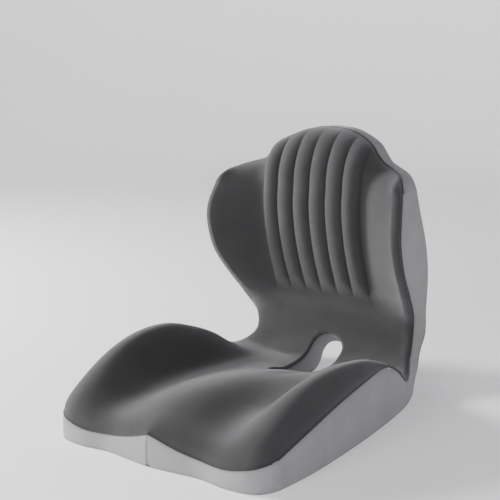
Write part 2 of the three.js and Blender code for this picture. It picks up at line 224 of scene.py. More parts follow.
def cushion_foam():
    """Open-cell foam: small round cells with thin walls, a little yellowed in patches."""
    net = Net("foam", Specular_IOR_Level=0.15)
    place = net.node("TexCoord", out=3)
    cells = net.node("TexVoronoi", {"feature": "F1"}, {"Vector": place, "Scale": 650.0})
    patch = net.noise(14, 3.0)
    colour = net.tint(patch * 0.8 + cells * 0.4, (0.62, 0.57, 0.45, 1), (0.8, 0.77, 0.68, 1))
    return net.finish(Base_Color=colour, Roughness=0.92 + 0.08 * patch, Normal=net.bump(cells, 0.0012, 0.8))


def zip_tape():
    """Herringbone tape: diagonal ribs that turn every few millimetres."""
    net = Net("zip_tape", Sheen_Weight=0.15, Specular_IOR_Level=0.25)
    u, v = net.measure()
    zigzag = ((v * (1 / 0.003)).math("FRACT") * 2 - 1).math("ABSOLUTE") * 0.003
    rib = ((u + zigzag) * (2 * math.pi / 0.0007)).math("SINE") * 0.5 + 0.5
    fibre = net.noise(3000, 2.0)
    colour = net.tint(rib * 0.5 + fibre * 0.5, grey(0.17), grey(0.33))
    return net.finish(Base_Color=colour, Roughness=0.8 + 0.15 * fibre, Normal=net.bump(rib, 0.0002, 0.7))


def nylon():
    """Moulded nylon teeth, faintly speckled."""
    net = Net("zip_teeth", Specular_IOR_Level=0.45)
    speck = net.noise(900, 3.0)
    colour = net.tint(speck, grey(0.15), grey(0.25))
    return net.finish(Base_Color=colour, Roughness=0.42 + 0.2 * speck, Normal=net.bump(speck, 0.00005, 0.4))


def nickel():
    """Nickel-plated metal, rubbed along its length."""
    net = Net("zip_metal", Metallic=1.0)
    place = net.node("TexCoord", out=3)
    drawn = net.node("Mapping", {}, {0: place, "Scale": (120.0, 120.0, 2600.0)})
    rub = net.node("TexNoise", {}, {"Vector": drawn, "Scale": 1.0, "Detail": 3.0})
    haze = net.noise(160, 3.0)
    colour = net.tint(rub * 0.6 + haze * 0.4, grey(0.42), grey(0.62, 0.01))
    return net.finish(Base_Color=colour, Roughness=0.24 + 0.22 * rub, Normal=net.bump(rub, 0.00003, 0.5))


def sewing_thread(name, base):
    """Twisted thread: two plies wound round each other."""
    net = Net(name, Sheen_Weight=0.2, Specular_IOR_Level=0.3)
    u, v = net.measure()
    ply = ((u * 2 + v) * (2 * math.pi)).math("SINE") * 0.5 + 0.5
    fibre = net.noise(4000, 2.0)
    colour = net.tint(ply * 0.6 + fibre * 0.4, grey(base * 0.6), grey(base * 1.3))
    return net.finish(Base_Color=colour, Roughness=0.7 + 0.2 * fibre, Normal=net.bump(ply, 0.0001, 0.6))


def studio_floor():
    """Matt pale paper with a trace of mottling."""
    net = Net("floor_paper", Specular_IOR_Level=0.1)
    mottle = net.noise(3, 2.0)
    colour = net.tint(mottle, grey(0.9), grey(0.94))
    net.shader.inputs["Emission Color"].default_value = grey(1.0)
    net.shader.inputs["Emission Strength"].default_value = 0.22
    return net.finish(Base_Color=colour, Roughness=0.9 + 0.1 * mottle)


# ---------- the cushion's outlines, as in its CAD source ----------
REAR_Y, HEEL_RADIUS, PAD_HALF, TROUGH_X = 250, 40, 88, 92
LEAN, WRAP_WAIST, WRAP_WINGS, WRAP_HALF = 12, 33, 38, 177
RIB_PITCH, RIB_HEIGHT = PAD_HALF / 3, 8
RIM, PAD = 0.88, 0.5  # columns at which the rounded rim and the slope beside the back pad begin
VALLEY_DEPTH = 9
WRAP_FROM = 50
HEEL_ROW = 12 / 26
# Half-width and y and z of the side seam; y and z of the middle; height of the trough; place of the outer edge
# along the sole, at the side and in the middle; height and width of the rounded rim.
STATIONS = np.array([
    [181, -212, 42, -226, 60, 45, -212, -226, 30, 28],
    [188, -150, 61, -165, 79, 54, -150, -165, 45, 32],
    [190, -80, 76, -90, 78, 53, -80, -90, 42, 27],
    [189, 0, 86, -5, 64, 47, 0, -5, 25, 18],
    [186, 60, 88, 60, 53, 41, 60, 60, 6, 16],
    [182, 110, 68, 115, 36, 35, 112, 115, 5, 16],
    [176, 151, 42, 155, 33, 33, 154, 156, 5, 16],
    [163, 188, 38, 186, 37, 37, 200, 200, 6, 14],
    [150, 217, 52, 211, 54, 54, 238, 238, 8, 13],
    [149, 224, 76, 219, 82, 82, 268, 268, 9, 13],
    [153, 215, 106, 213, 110, 110, 296, 298, 9, 13],
    [163, 192, 134, 196, 142, 142, 324, 330, 9, 13],
    [171, 161, 170, 180, 174, 174, 360, 362, 9, 13],
    [176, 131, 212, 163, 215, 215, 402, 404, 9, 13],
    [177, 116, 258, 151, 258, 258, 453, 448, 9, 13],
    [176, 118, 290, 146, 296, 296, 496, 485, 9, 13],
    [170, 132, 324, 148, 328, 328, 544, 518, 9, 13],
], float)
FRONT = np.array([
    [0, -250, 48], [39, -246, 35], [78, -242, 27], [118, -247, 27], [148, -245, 32], [166, -237, 36],
    [177, -223, 39],
], float)
TOP = np.array([
    [0, 215, 417], [34, 214, 414], [62, 209, 404], [84, 199, 392], [96, 196, 378],
    [107, 196, 366], [121, 190, 360], [145, 168, 352], [158, 152, 343], [167, 139, 330],
], float)


def mix(a, b, t):
    """The value a share t of the way from a to b."""
    return a + (b - a) * t


def smooth(a, b, t):
    """0 up to a and 1 from b, with the cubic 3s^2 - 2s^3 between."""
    s = np.clip((t - a) / (b - a), 0, 1)
    return s * s * (3 - 2 * s)


def unit(vectors):
    """Vectors brought to length 1."""
    return vectors / np.maximum(np.linalg.norm(vectors, axis=-1, keepdims=True), 1e-9)


def spline(points, t):
    """A smooth curve through the points: between two of them, the cubic whose slopes are half the step from the
    point before to the point after. t runs evenly from 0 at the first point to 1 at the last."""
    ends = np.vstack([2 * points[0] - points[1], points, 2 * points[-1] - points[-2]])
    place = np.clip(t, 0, 1) * (len(points) - 1)
    k = np.minimum(place.astype(int), len(points) - 2)
    w = (place - k)[..., None]
    a, b, c, d = (ends[k + n] for n in range(4))
    m, n = (c - a) / 2, (d - b) / 2
    return b + m * w + (3 * c - 3 * b - 2 * m - n) * w**2 + (2 * b - 2 * c + m + n) * w**3


def at_width(points, x):
    """The point of a half outline whose x is the given one."""
    t = np.linspace(0, 1, 4001)
    return spline(points, np.interp(x, spline(points, t)[:, 0], t))


def sole(length):
    """y and z along the outside of the L: flat along the base, a quarter turn round the heel, straight up."""
    bend, quarter = REAR_Y - HEEL_RADIUS, HEEL_RADIUS * math.pi / 2
    angle = np.clip((length - bend) / HEEL_RADIUS, 0, math.pi / 2)
    y = np.minimum(length, bend) + HEEL_RADIUS * np.sin(angle)
    z = HEEL_RADIUS * (1 - np.cos(angle)) + np.maximum(length - bend - quarter, 0)
    return y, z


def rear_y(x, z):
    """The rear face: it leans in towards the top, and comes forward with the fourth power of the way from the
    middle round the waist and with its square at the wings."""
    side = np.abs(x) / WRAP_HALF
    waist = WRAP_WAIST * smooth(WRAP_FROM, 150, z) * side**4
    wings = WRAP_WINGS * smooth(190, 360, z) * side**2
    return REAR_Y - LEAN * np.clip((z - 112) / 305, 0, 1) - waist - wings


def across_of(column, half, width, flat=False):
    """Way from the middle: even over the pad, even to the rim, and then the sine of the rim's quarter turn."""
    c = np.abs(column)
    turn = (c - RIM) / (1 - RIM)
    inner = mix(PAD_HALF, half - width, (c - PAD) / (RIM - PAD))
    rim = half - width + width * (turn if flat else np.sin(turn * math.pi / 2))
    return np.where(c <= PAD, c / PAD * PAD_HALF, np.where(c <= RIM, inner, rim))


def ribs(x, z):
    """Rounded ribs between sharp creases: a power of the sine, faded out at both ends and beyond the pad."""
    ends = smooth(140, 172, z) * (1 - smooth(372, 408, z))
    wave = np.abs(np.sin(math.pi * x / RIB_PITCH)) ** 0.72
    return RIB_HEIGHT * ends * np.where(x < PAD_HALF, wave, 0)


def body_sole(column, row):
    """The outer surface: a length along the sole that goes from the middle's to the side's with the column's
    square, at the way across; above the heel, the rear face's own y."""
    s = spline(STATIONS, row)
    x = across_of(column, s[..., 0], s[..., 9], flat=True)
    y, z = sole(mix(s[..., 7], s[..., 6], column * column))
    return np.stack([np.sign(column) * x, np.where(z > WRAP_FROM, rear_y(x, z), y), z], -1)


def body_face(column, row):
    """The dark face: a section at each row between its middle point and its side seam. It sinks to the thigh
    trough and rises to the rim over the seat; over the back it is flat at the pad and rises to the wings."""
    s = spline(STATIONS, row)
    half, sy, sz, my, mz, tz, lift, width = (s[..., n] for n in (0, 1, 2, 3, 4, 5, 8, 9))
    foot = body_sole(np.ones_like(row), row)
    ny, nz = sy - foot[..., 1], sz - foot[..., 2]
    length = np.hypot(ny, nz)
    ny, nz = ny / length, nz / length
    x = across_of(column, half, width)
    turn = np.clip((np.abs(column) - RIM) / (1 - RIM), 0, 1) * math.pi / 2
    over = lift * np.cos(turn)
    back = smooth(0.5, 0.66, row)
    wing = np.clip((x - PAD_HALF) / (half - width - PAD_HALF), 0, 1) ** 1.5
    share = mix(smooth(TROUGH_X + 4, half - width, x), wing, back)
    trough = (mz - tz) * smooth(0, TROUGH_X, x) * (1 - share)
    valley = VALLEY_DEPTH * np.exp(-(((x - PAD_HALF - 10) / 14) ** 2)) * smooth(0.66, 0.76, row)
    rise = ribs(x, mz) * back - trough - valley
    inside = np.abs(column) <= RIM
    y = np.where(inside, mix(my, sy + ny * lift, share) + ny * rise, sy + ny * over)
    z = np.where(inside, mix(mz, sz + nz * lift, share) + nz * rise, sz + nz * over)
    return np.stack([np.sign(column) * x, y, z], -1)


def rolled(column, row, body, flat):
    """A surface with its ends: rows below 0 go from the body's first row to the front seam, and rows above 1 from
    its last row to the top seam, as quarter turns on the face and evenly on the outer side."""
    base = body(column, np.clip(row, 0, 1))
    width = spline(STATIONS, np.clip(row, 0, 1))[..., 9]
    front, top = (
        at_width(line, across_of(column, line[-1, 0], width, flat=flat)) for line in (FRONT, TOP)
    )
    reach = np.clip(np.where(row < 0, -row, row - 1), 0, 1)
    s, c = np.sin(reach * math.pi / 2), 1 - np.cos(reach * math.pi / 2)
    if flat:
        x_share = y_share = z_share = reach
    else:
        x_share, z_share = s, np.where(row < 0, c, s)
        y_share = np.where(row < 0, s, c)
    seam = np.where((row < 0)[..., None], front, top)
    x = mix(np.abs(base[..., 0]), seam[..., 0], x_share)
    y = mix(base[..., 1], seam[..., 1], y_share)
    z = mix(base[..., 2], seam[..., 2], z_share)
    if flat:
        z = np.where(row < 0, 0, z)
        y = np.where(row > 1, rear_y(x, z), y)
    return np.stack([np.sign(column) * x, y, z], -1)


def face(column, row):
    """The dark face with its rolled ends."""
    return rolled(column, row, body_face, False)


def outer(column, row):
    """Base, heel and rear with their ends."""
    return rolled(column, row, body_sole, True)


# ---------- the tailbone cut-out: a teardrop in plan, under an arch that falls to the rear ----------
CUT_TIP, CUT_HALF, CROWN_Y, CROWN_Z, FALL = 38, 29, 218, 71, 0.65


def teardrop(extra, steps=24):
    """The right half of the plan, from the pointed tip to where its sides run straight: two quadratic curves."""
    half, tip = CUT_HALF + extra, CUT_TIP - extra * 1.6
    t = np.linspace(0, 1, steps)[:, None]
    corners = [(0, tip), (half * 0.5, tip + 26), (half * 0.8, tip + 82), (half, tip + 120), (half, tip + 160)]
    a, b, c, d, e = (np.array(p, float) for p in corners)
    first = a * (1 - t) ** 2 + b * 2 * t * (1 - t) + c * t**2
    second = c * (1 - t) ** 2 + d * 2 * t * (1 - t) + e * t**2
    return np.vstack([first[:-1], second])


def spring(y):
    """Height at which the arch springs from the straight sides."""
    return CROWN_Z - CUT_HALF - FALL * (y - CROWN_Y)


def off_cutout(points, extra):
    """Way outside the cut-out widened by extra: the greater of the ways outside its plan and outside its arch."""
    x, y, z = np.abs(points[..., 0]), points[..., 1], points[..., 2]
    plan = teardrop(extra, 60)
    tip = CUT_TIP - extra * 1.6
    half = np.interp(y, plan[:, 1], plan[:, 0]) + np.minimum(y - tip, 0) * 0.56
    over = np.maximum(z - spring(y), 0)
    return np.maximum((x - half) * 0.9, np.hypot(x, over) - CUT_HALF - extra)


ZIP_Z, ZIP_REACH, ZIP_OPEN, ZIP_CORNER = 102, 101, 9, 2.5


def off_zip(points, extra=0.0):
    """Way outside the zip's opening: a rectangle with rounded corners."""
    side = np.abs(points[..., 0]) - (ZIP_REACH - ZIP_CORNER)
    rise = np.abs(points[..., 2] - ZIP_Z) - (ZIP_OPEN - ZIP_CORNER)
    corner = np.hypot(np.maximum(side, 0), np.maximum(rise, 0)) + np.minimum(np.maximum(side, rise), 0)
    return corner - ZIP_CORNER - extra


# ---------- grids and pieces ----------
def grid_faces(rows, cols, flip=False):
    """The cells of a grid of points as quads."""
    k = np.arange(rows * cols).reshape(rows, cols)
    quads = np.stack([k[:-1, :-1], k[:-1, 1:], k[1:, 1:], k[1:, :-1]], -1).reshape(-1, 4)
    return quads[:, ::-1] if flip else quads


def fit_opening(surface, column, row, off):
    """Cells whose middle is inside an opening are dropped, and the corners that this frees slide along the surface
    on to the opening's edge, by steps against the slope of the way outside."""
    away = off(surface(column, row))
    middle = (away[:-1, :-1] + away[:-1, 1:] + away[1:, 1:] + away[1:, :-1]) / 4
    keep = middle > 0
    near = [np.zeros(away.shape, bool) for _ in range(2)]
    for mask, mark in zip((keep, ~keep), near):
        for rows, cols in ((slice(None, -1), slice(None, -1)), (slice(None, -1), slice(1, None)),
                           (slice(1, None), slice(1, None)), (slice(1, None), slice(None, -1))):
            mark[rows, cols] |= mask
    edge = near[0] & near[1]
    c, r = column[edge], row[edge]
    tiny, wide, tall = 1e-4, 176, 800  # a small step, and about how many mm one column or row unit is
    for _ in range(8):
        here = off(surface(c, r))
        slope_c = (off(surface(c + tiny, r)) - here) / tiny / wide
        slope_r = (off(surface(c, r + tiny)) - here) / tiny / tall
        size = np.maximum(slope_c**2 + slope_r**2, 0.05)
        c, r = c - here * slope_c / size / wide, r - here * slope_r / size / tall
    column, row = column.copy(), row.copy()
    column[edge], row[edge] = c, r
    return column, row, keep


def grid_normals(points):
    """Unit normals of a grid from the steps along its rows and columns."""
    along, over = np.gradient(points, axis=0), np.gradient(points, axis=1)
    return unit(np.cross(over, along))


def settled(points, share, passes):
    """A grid smoothed where its share is above 0: in each pass a point goes that share of half the way to the mean
    of its four neighbours. The border stays."""
    points, share = points.copy(), share[1:-1, 1:-1, None] / 2
    for _ in range(passes):
        mean = (points[2:, 1:-1] + points[:-2, 1:-1] + points[1:-1, 2:] + points[1:-1, :-2]) / 4
        points[1:-1, 1:-1] = mix(points[1:-1, 1:-1], mean, share)
    return points


def thicken(points, faces, thickness):
    """A closed shell: the surface, a copy of it moved in along the points' own normals with its faces turned,
    and a wall along each free edge."""
    corners = points[faces]
    facing = np.cross(corners[:, 2] - corners[:, 0], corners[:, 3] - corners[:, 1])
    normals = np.zeros_like(points)
    for n in range(4):
        np.add.at(normals, faces[:, n], facing)
    inner = points - unit(normals) * thickness
    edges = np.concatenate([faces[:, [n, (n + 1) % 4]] for n in range(4)])
    key, back = edges[:, 0] * len(points) + edges[:, 1], edges[:, 1] * len(points) + edges[:, 0]
    free = edges[~np.isin(key, back)]
    wall = np.stack([free[:, 1], free[:, 0], free[:, 0] + len(points), free[:, 1] + len(points)], -1)
    return np.vstack([points, inner]), np.vstack([faces, faces[:, ::-1] + len(points), wall])


def compact(points, faces, *extras):
    """Only the points that the faces use."""
    used, faces_new = np.unique(faces, return_inverse=True)
    return (points[used], faces_new.reshape(faces.shape), *(e[used] for e in extras))


def make(name, points, faces, finish, pattern=None, marks=None):
    """A mesh object from points in millimetres and quads, with its flat pattern as its UV map and its marks."""
    mesh = bpy.data.meshes.new(name)
    mesh.from_pydata((points * MM).tolist(), [], faces.tolist())
    mesh.update()
    if pattern is not None:
        layer = mesh.uv_layers.new(name="pattern")
        index = np.empty(len(mesh.loops), np.int32)
        mesh.loops.foreach_get("vertex_index", index)
        layer.data.foreach_set("uv", pattern[index].astype(np.float32).ravel())
    for key, values in (marks or {}).items():
        mark = mesh.attributes.new(key, "FLOAT", "POINT")
        mark.data.foreach_set("value", np.clip(values, 0, 1).astype(np.float32))
    mesh.polygons.foreach_set("use_smooth", np.ones(len(mesh.polygons), bool))
    mesh.materials.append(finish)
    made = bpy.data.objects.new(name, mesh)
    scene.collection.objects.link(made)
    return made


def doubled(*arrays):
    """Values for both layers of a thickened piece."""
    return [np.concatenate([a, a]) for a in arrays]


def lengths(points, axis):
    """Length run along the grid in one direction, from its first line."""
    steps = np.linalg.norm(np.diff(points, axis=axis), axis=-1)
    return np.concatenate([np.zeros_like(np.take(steps, [0], axis)), np.cumsum(steps, axis)], axis)


def half_columns(pad, slope, rim):
    """Columns of one half: even steps over the pad, the slope beside it and the rim."""
    return np.concatenate([
        np.linspace(0, PAD, pad, endpoint=False),
        np.linspace(PAD, RIM, slope, endpoint=False),
        np.linspace(RIM, 1, rim + 1),
    ])


def both_sides(half):
    """The half's columns and their mirror images, the middle one once."""
    return np.concatenate([-half[:0:-1], half])


def row_list(body, roll):
    """Rows from -1 to 2: even steps over the body, from 0 to 1, and over each rolled end."""
    ends = np.linspace(0, 1, roll, endpoint=False)
    return np.concatenate([ends - 1, np.linspace(0, 1, body + 1), (2 - ends)[::-1]])


# ---------- the cover swells a little between its seams ----------
def creased(column, row):
    """Where the cover is held down along a crease of the back pad."""
    on_line = np.abs(np.abs(column) / PAD * 3 - np.round(np.abs(column) / PAD * 3)) < 1e-6
    z = spline(STATIONS, np.clip(row, 0, 1))[..., 4]
    return on_line & (np.abs(column) <= PAD) & (z > 150) & (z < 400) & (row < 1)


def swell(points, faces, held, pressure=4.0, frames=20):
    """How far each point moves when the cloth, held at some points, is blown out a little by air pressure."""
    trial = make("trial", points, faces, None)
    group = trial.vertex_groups.new(name="held")
    group.add(np.flatnonzero(held).tolist(), 1.0, "REPLACE")
    cloth = trial.modifiers.new("cloth", "CLOTH")
    settings = cloth.settings
    settings.quality, settings.mass = 6, 0.3
    settings.tension_stiffness = settings.compression_stiffness = 30
    settings.shear_stiffness, settings.bending_stiffness = 12, 1.5
    settings.vertex_group_mass = "held"
    settings.use_pressure, settings.uniform_pressure_force = True, pressure
    settings.effector_weights.gravity = 0
    cloth.collision_settings.use_collision = False
    cloth.point_cache.frame_start, cloth.point_cache.frame_end = 1, frames
    for number in range(1, frames + 1):
        scene.frame_set(number)
    shown = trial.evaluated_get(bpy.context.evaluated_depsgraph_get())
    place = np.empty(3 * len(points))
    shown.data.vertices.foreach_get("co", place)
    bpy.data.objects.remove(trial)
    scene.frame_set(1)
    return place.reshape(-1, 3) / MM - points


EVENING = 6  # passes of smoothing over the swelling


class Swelling:
    """The cover's small movement, kept on a coarse grid and read between its lines with cubic weights."""

    def __init__(self, cap):
        self.columns, self.rows = both_sides(half_columns(24, 12, 8)), row_list(104, 5)
        column, row = np.meshgrid(self.columns, self.rows)
        start = face(column, row)
        held = creased(column, row) | (np.abs(column) == 1) | (np.abs(row - 0.5) == 1.5)
        held |= off_cutout(start, 4) < 5
        flat = start.reshape(-1, 3)
        moved = swell(flat, grid_faces(*column.shape), held.ravel()).reshape(start.shape)
        size = np.linalg.norm(moved, axis=-1, keepdims=True)
        moved = moved * cap * np.tanh(size / cap) / np.maximum(size, 1e-9)
        for _ in range(EVENING):  # each point half way to the mean of its four neighbours
            wide = np.pad(moved, ((1, 1), (1, 1), (0, 0)), mode="edge")
            mean = (wide[2:, 1:-1] + wide[:-2, 1:-1] + wide[1:-1, 2:] + wide[1:-1, :-2]) / 4
            moved = mix(moved, mean, 0.5) * ~held[..., None]
        self.moved = moved

    def at(self, column, row):
        """The movement there: the nearest four lines each way, by the cubic weights of a smooth curve."""
        parts = []
        for lines, value in ((self.rows, row), (self.columns, column)):
            place = np.interp(value, lines, np.arange(len(lines)))
            k = np.clip(place.astype(int), 0, len(lines) - 2)
            w = place - k
            weights = [(-w + 2 * w**2 - w**3) / 2, (2 - 5 * w**2 + 3 * w**3) / 2,
                       (w + 4 * w**2 - 3 * w**3) / 2, (w**3 - w**2) / 2]
            parts.append([(np.clip(k + n - 1, 0, len(lines) - 1), weights[n]) for n in range(4)])
        total = 0
        for i, a in parts[0]:
            for j, b in parts[1]:
                total = total + self.moved[i, j] * (a * b)[..., None]
        return total


swelling = Swelling(cap=2.4)


def soft_face(column, row):
    """The dark face as the cover takes it: the moulded face and the cover's swelling."""
    return face(column, row) + swelling.at(column, row)


# ---------- finishes ----------
face_cloth = knit("face_cloth", 0.036, 0.0013, 0.0010, 0.35, 0.0005)
band_cloth = knit("band_cloth", 0.25, 0.0012, 0.0009, 0.2, 0.0004)
base_cloth, foam_finish = rubber_dotted(), cushion_foam()
tape_finish, teeth_finish, metal_finish = zip_tape(), nylon(), nickel()
grey_thread = sewing_thread("grey_thread", 0.3)
COVER = 1.4  # thickness of the cloth


def across_flex(piece):
    """The piece with its placement baked into its points; it is tied to neither the seat nor the back."""
    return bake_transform(piece)


def cloth_piece(name, points, faces, finish, pattern, painted_shade, crest=None, thickness=COVER):
    """A surface as a closed shell of cloth, with its flat pattern and its marks on both layers: wear on crests and
    painted shade.
    """
    crest = np.zeros(len(points)) if crest is None else crest
    shell, shell_faces = thicken(points, faces, thickness)
    pattern, crest, painted_shade = doubled(pattern, crest, painted_shade)
    return make(name, shell, shell_faces, finish, pattern, {"crest": crest, "painted_shade": painted_shade})


# ---------- the dark face ----------
BODY_ROWS, ROLL_ROWS = 221, 12  # lines over the body and over each rolled end; the heel's line is one of them
EDGE_ROLL = 2.5  # radius at which the face turns down into the cut-out
columns, rows = both_sides(half_columns(48, 28, 14)), row_list(BODY_ROWS, ROLL_ROWS)
column, row = np.meshgrid(columns, rows)
centre_column = len(columns) // 2
plain = face(column, row)
from_left, from_front = lengths(plain, 1), lengths(plain, 0)
to_right, to_top = from_left[:, -1:] - from_left, from_front[-1:] - from_front
to_seam = np.minimum(np.minimum(from_left, to_right), np.minimum(from_front, to_top))
on_side = np.minimum(from_left, to_right) < np.minimum(from_front, to_top)
run = np.where(on_side, from_front, from_left)
pattern = np.stack([from_left - from_left[:, [centre_column]], from_front], -1) * MM

column, row, keep = fit_opening(face, column, row, lambda p: off_cutout(p, EDGE_ROLL))
aside = np.abs(column)
wing_share = smooth(0.50, 0.58, aside) * (1 - smooth(0.78, 0.88, aside)) * smooth(0.55, 0.64, row)
front_share = 1 - smooth(0.05, 0.2, row)
points = settled(soft_face(column, row), np.maximum(front_share, wing_share), passes=90)
normals = grid_normals(points)
pucker = 0.1 * np.sin(run * 2 * math.pi / 13 + 0.8 * np.sin(run / 41)) * np.exp(-to_seam / 10)
points = points - normals * (1.5 * np.exp(-((to_seam / 6.5) ** 2)) + pucker)[..., None]


def loop_of(cols, count_rows):
    """Indices round a grid's border, from the middle of its first line to the right and all the way round."""
    k = np.arange(cols * count_rows).reshape(count_rows, cols)
    mid = cols // 2
    return np.concatenate([k[0, mid:], k[1:, -1], k[-1, -2::-1], k[-2:0:-1, 0], k[0, :mid]])


loop = loop_of(len(columns), len(rows))
outer_grid = outer(*np.meshgrid(columns, rows))
seam_edge = points.reshape(-1, 3)[loop]
foot_edge = outer_grid.reshape(-1, 3)[loop]
tangent = unit(np.roll(seam_edge, -1, 0) - np.roll(seam_edge, 1, 0))
down = foot_edge - seam_edge
band_height = np.linalg.norm(down, axis=1)
down = unit(down - tangent * (down * tangent).sum(1, keepdims=True))
outward = unit(np.cross(down, tangent))
for _ in range(40):  # the seam's directions turn evenly round the corners
    outward = unit(outward + np.roll(outward, 1, 0) + np.roll(outward, -1, 0))

LIP = [(0.45, 0.3), (0.7, 0.9), (0.55, 1.5), (0.1, 1.9), (-1.0, 2.0)]
rings = [seam_edge + outward * out + down * fall for out, fall in LIP]
count = len(points.reshape(-1, 3))
ring_ids = [loop, *(count + n * len(loop) + np.arange(len(loop)) for n in range(len(LIP)))]
lip_faces = np.vstack([
    np.stack([a, b, np.roll(b, -1), np.roll(a, -1)], -1) for a, b in zip(ring_ids, ring_ids[1:])
])
all_points = np.vstack([points.reshape(-1, 3), *rings])
all_faces = np.vstack([grid_faces(len(rows), len(columns))[keep.ravel()], lip_faces])
lip_pattern = np.vstack([pattern.reshape(-1, 2)[loop] + MM * fall for _, fall in LIP])
pattern_all = np.vstack([pattern.reshape(-1, 2), lip_pattern])
x_face, z_face = np.abs(points[..., 0]), points[..., 2]
rib_crest = ribs(x_face, z_face) / RIB_HEIGHT * smooth(0.5, 0.66, row) * (x_face < PAD_HALF)
rim_crest = np.exp(-(((np.abs(column) - RIM - 0.01) / 0.05) ** 2))
rib_zone = smooth(140, 172, z_face) * (1 - smooth(372, 408, z_face)) * (x_face < PAD_HALF + 1) * (row > 0.6)
crease = np.exp(-((np.abs(x_face - RIB_PITCH * np.round(x_face / RIB_PITCH)) / 1.6) ** 2)) * rib_zone
# painted shade: strongest next to the seams and in the rib creases
painted_shade = np.maximum(0.5 * np.exp(-((to_seam / 3) ** 2)), crease)
crest = np.maximum(rib_crest**2 * 0.6, rim_crest)
zeros = np.zeros(len(loop) * len(LIP))
# the lip rings get an even share of painted shade
crest_all, painted_shade_all = np.append(crest.ravel(), zeros), np.append(painted_shade.ravel(), zeros + 0.2)
all_points, all_faces, pattern_all, crest_all, painted_shade_all = compact(
    all_points, all_faces, pattern_all, crest_all, painted_shade_all
)
face_cover = cloth_piece("face_cover", all_points, all_faces, face_cloth, pattern_all, painted_shade_all, crest_all)
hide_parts("seat_face_cover", "back_face_cover")
across_flex(face_cover)


# ---------- the edge of the cut-out and its lining ----------
def solve(value, low, high, steps=40):
    """Where a rising function of an array crosses 0, by halving."""
    low, high = np.array(low, float), np.array(high, float)
    for _ in range(steps):
        middle = (low + high) / 2
        below = value(middle) < 0
        low, high = np.where(below, middle, low), np.where(below, high, middle)
    return (low + high) / 2


def cutout_edge(extra):
    """The cut-out's edge widened by extra, right half from the tip to the crown: its columns and rows on the
    face, and its points on the outer surface. It follows the teardrop, the straight side up to the springing,
    and the arch."""
    half = CUT_HALF + extra
    plan = teardrop(extra, 20)
    turn = np.linspace(0, math.pi / 2, 18)[1:]
    rise = half * np.sin(turn)

    def face_yz(x, row):
        """y and z of the face at a way across and a row."""
        p = face(x / PAD_HALF * PAD, row)
        return p[..., 1], p[..., 2]

    def past_plan(row):
        """How far the face at a row is behind the plan: its y less the plan's."""
        return face_yz(plan[:, 0], row)[0] - plan[:, 1]

    row_plan = solve(past_plan, np.full(len(plan), 0.2), np.full(len(plan), 0.5))
    arch_x = np.append(half, half * np.cos(turn))
    rise = np.append(0.0, rise)

    def over_spring(row):
        """How far the face at a row is above the arch: its z less the spring line and the rise."""
        y, z = face_yz(arch_x, row)
        return z - spring(y) - rise

    row_arch = solve(over_spring, np.full(len(arch_x), 0.35), np.full(len(arch_x), 0.62))
    side = np.linspace(0, 1, 12)[1:-1]
    row_side = mix(row_plan[-1], row_arch[0], side)
    x = np.concatenate([plan[:, 0], np.full(len(side), half), arch_x])
    rows_all = np.concatenate([row_plan, row_side, row_arch])

    def sole_over(length):
        """The same for the underside, at a length along it."""
        y, z = sole(length)
        return z - spring(y) - rise

    length_arch = solve(sole_over, np.full(len(arch_x), 100.0), np.full(len(arch_x), 330.0))
    length_side = mix(plan[-1, 1], length_arch[0], side)
    y, z = sole(np.concatenate([plan[:, 1], length_side, length_arch]))
    return x / PAD_HALF * PAD, rows_all, np.stack([x, y, z], -1)


def whole_loop(half):
    """Right half and its mirror image, as one closed loop from the tip."""
    mirrored = half[-2:0:-1] * np.array([-1, 1, 1])
    return np.vstack([half, mirrored])


edge_column, edge_row = cutout_edge(EDGE_ROLL)[:2]
inner_column, inner_row, inner_sole = cutout_edge(0)
rim_points = soft_face(edge_column, edge_row)
tiny = 1e-3
over_c = soft_face(edge_column + tiny, edge_row) - soft_face(edge_column - tiny, edge_row)
over_r = soft_face(edge_column, edge_row + tiny) - soft_face(edge_column, edge_row - tiny)
rim_normal = unit(np.cross(over_c, over_r))
rim_along = unit(np.gradient(rim_points, axis=0))
rim_along[0] = rim_along[-1] = (1, 0, 0)
rim_along[-1] *= -1
rim_in = unit(np.cross(rim_normal, rim_along))
rim_in *= np.sign((rim_in * (soft_face(inner_column, inner_row) - rim_points)).sum(1, keepdims=True))
angles = np.linspace(0, math.pi / 2, 8)
rows_of_roll = [rim_points - rim_in * 2 - rim_normal * 0.5]
rows_of_roll += [
    rim_points + rim_in * EDGE_ROLL * math.sin(a) - rim_normal * EDGE_ROLL * (1 - math.cos(a)) for a in angles
]
roll_end = rows_of_roll[-1]
to_foot = unit(inner_sole - roll_end)
rows_of_roll += [roll_end + to_foot * 1.5, roll_end + to_foot * 3, roll_end + to_foot * 3.4 - rim_in * 1.2]
roll = np.stack([whole_loop(r) for r in rows_of_roll])


def closed_strip(strip, flip=False):
    """Faces of a strip whose lines are closed loops."""
    k = np.arange(strip.shape[0] * strip.shape[1]).reshape(strip.shape[:2])
    turned = np.roll(k, -1, 1)
    quads = np.stack([k[:-1], k[1:], turned[1:], turned[:-1]], -1).reshape(-1, 4)
    return quads[:, ::-1] if flip else quads


def strip_pattern(strip):
    """Flat pattern of a strip: length along its loops and length across them, in metres."""
    return np.stack([lengths(strip, 1), lengths(strip, 0)], -1).reshape(-1, 2) * MM


def outward_share(points, faces, centre):
    """How much of a surface faces away from a point: above a half, it faces outwards."""
    corners = points[faces]
    facing = np.cross(corners[:, 2] - corners[:, 0], corners[:, 3] - corners[:, 1])
    return (((corners.mean(1) - centre) * facing).sum(1) > 0).mean()


roll_faces = closed_strip(roll)
flat_roll = roll.reshape(-1, 3)
HOLE_MIDDLE = np.array([0, 150, 20.0])
if outward_share(flat_roll, roll_faces, HOLE_MIDDLE) > 0.5:
    roll_faces = roll_faces[:, ::-1]
